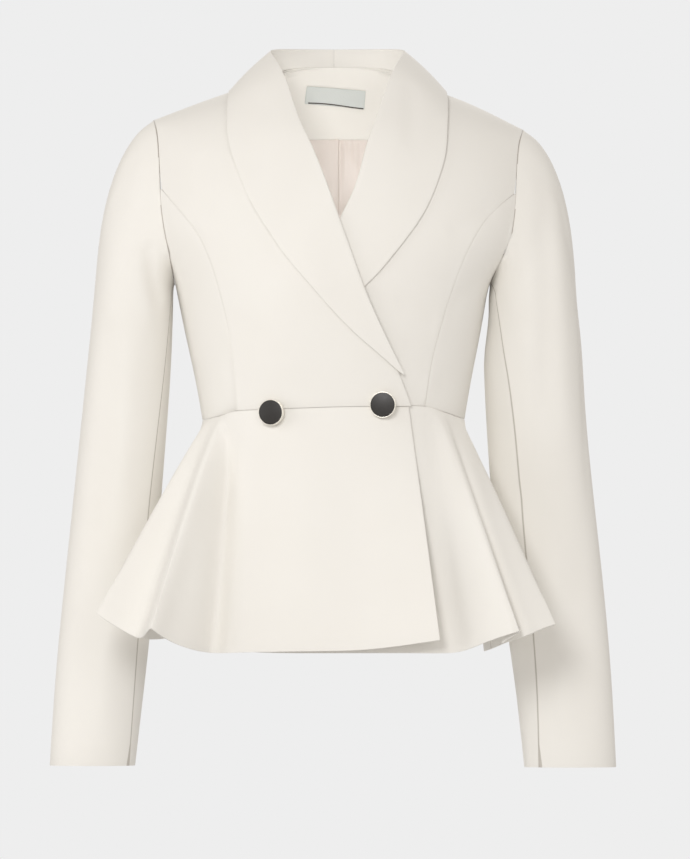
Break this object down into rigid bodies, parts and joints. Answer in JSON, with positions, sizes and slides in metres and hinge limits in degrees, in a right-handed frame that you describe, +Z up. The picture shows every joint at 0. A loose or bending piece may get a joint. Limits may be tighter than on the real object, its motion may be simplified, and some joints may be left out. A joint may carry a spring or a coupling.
{
  "type": "peplum jacket",
  "caption": "Fitted cream jacket with a shawl collar, a right-over-left waist button, long sleeves and a flared peplum, in its hollow worn form.",
  "frame": {"origin": "between the neck points, at half the depth of the shoulders, where the neck and shoulders hold the jacket", "axes": "+Z up along the body, -Y out of the front, +X to the wearer's left"},
  "size_m": [0.5457, 0.316, 0.6911],
  "materials": {
    "shell_cloth": "matte crepe",
    "lining": "satin weave",
    "label": "woven satin",
    "button_metal": "pale polished metal",
    "button_face": "dark semi-gloss"
  },
  "bodies": {
    "root": {"front_right": "shell_cloth", "side_front_right": "shell_cloth", "back_right": "shell_cloth", "side_back_right": "shell_cloth", "sleeve_upper_right": "shell_cloth", "sleeve_under_right": "shell_cloth", "peplum_front_right": "shell_cloth", "peplum_back_right": "shell_cloth", "collar_right": "shell_cloth", "front_left": "shell_cloth", "side_front_left": "shell_cloth", "back_left": "shell_cloth", "side_back_left": "shell_cloth", "sleeve_upper_left": "shell_cloth", "sleeve_under_left": "shell_cloth", "peplum_front_left": "shell_cloth", "peplum_back_left": "shell_cloth", "collar_left": "shell_cloth", "neck_facing": "shell_cloth", "back_lining": "lining", "neck_label": "label", "button_shell_wearers_right": "button_metal", "button_face_wearers_right": "button_face", "button_shell_wearers_left": "button_metal", "button_face_wearers_left": "button_face"}
  },
  "joints": []
}
